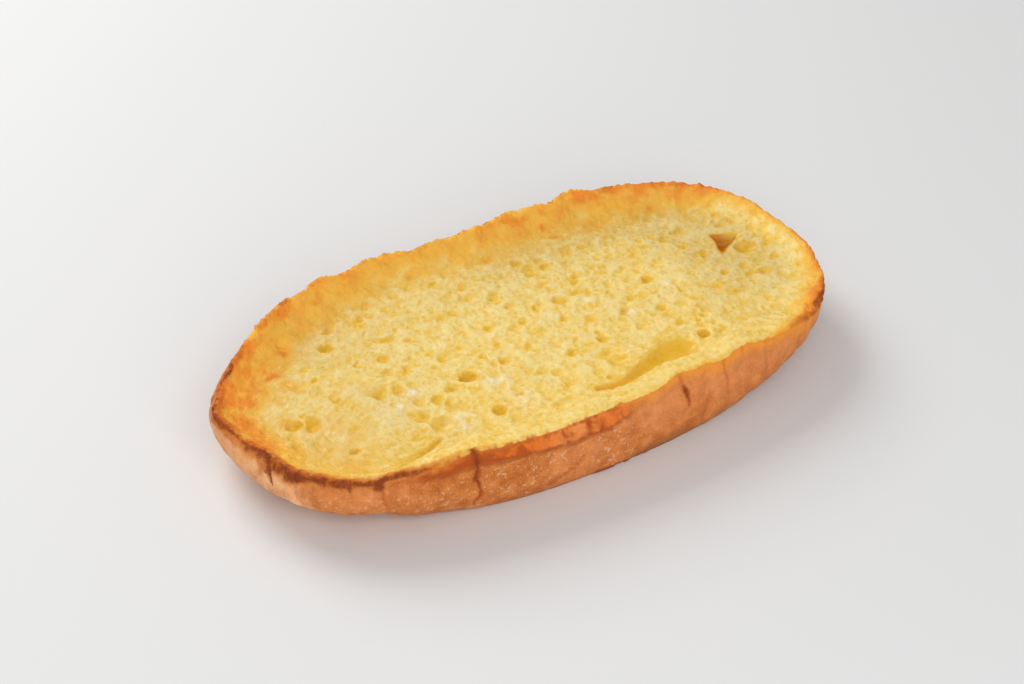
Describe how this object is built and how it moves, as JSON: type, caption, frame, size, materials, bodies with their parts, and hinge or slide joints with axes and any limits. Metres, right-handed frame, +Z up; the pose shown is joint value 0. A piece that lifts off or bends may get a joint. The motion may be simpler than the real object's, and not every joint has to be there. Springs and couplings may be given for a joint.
{
  "type": "french toast",
  "caption": "Long oval slab of egg-soaked bread baked golden, cut face up, with sunken open crumb inside a browned crust rim.",
  "frame": {"origin": "centre of the box round the slab in plan, on the flat of its bottom crust", "axes": "+X along the slab to its fuller right end, +Y to its far side with the higher rim, +Z up out of the cut face"},
  "size_m": [0.2074, 0.1032, 0.0274],
  "materials": {
    "egg_soaked_bread": "moist open yellow crumb, tan baked crust with a browned rim"
  },
  "bodies": {
    "root": {"bread_slab": "egg_soaked_bread"}
  },
  "joints": []
}
